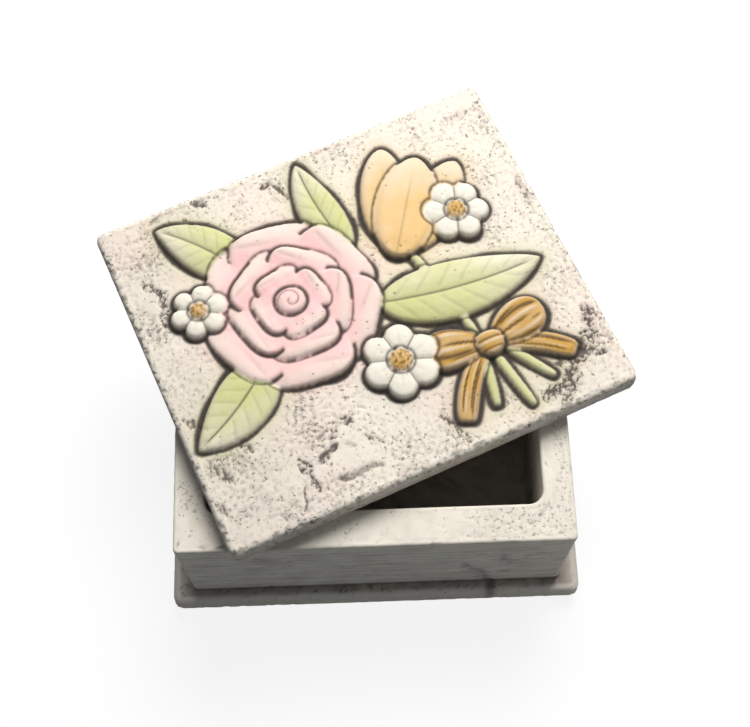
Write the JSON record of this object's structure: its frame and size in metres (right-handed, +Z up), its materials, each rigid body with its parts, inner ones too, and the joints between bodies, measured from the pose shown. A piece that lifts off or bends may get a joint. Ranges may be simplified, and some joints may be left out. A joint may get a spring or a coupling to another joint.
{
  "type": "keepsake box",
  "caption": "Small rectangular cast keepsake box: tray with page-edge walls on a plinth, under a loose flat lid with a floral bouquet in painted relief, lying askew.",
  "frame": {"origin": "middle of the plinth's flat underside, where the box stands", "axes": "+Z up, +X to the right along the front wall, +Y from the front to the back"},
  "size_m": [0.1104, 0.1041, 0.0483],
  "materials": {
    "plinth_plaster": "matte",
    "wall_plaster": "matte",
    "lid_painted_plaster": "matte"
  },
  "bodies": {
    "box": {"base_plinth": "plinth_plaster", "box_tray": "wall_plaster"},
    "lid": {"lid": "lid_painted_plaster"}
  },
  "joints": [
    {"name": "lid_lift", "type": "slide", "parent": "box", "child": "lid", "axis": [0, 0, 1], "range_m": [0, 0.06]}
  ]
}
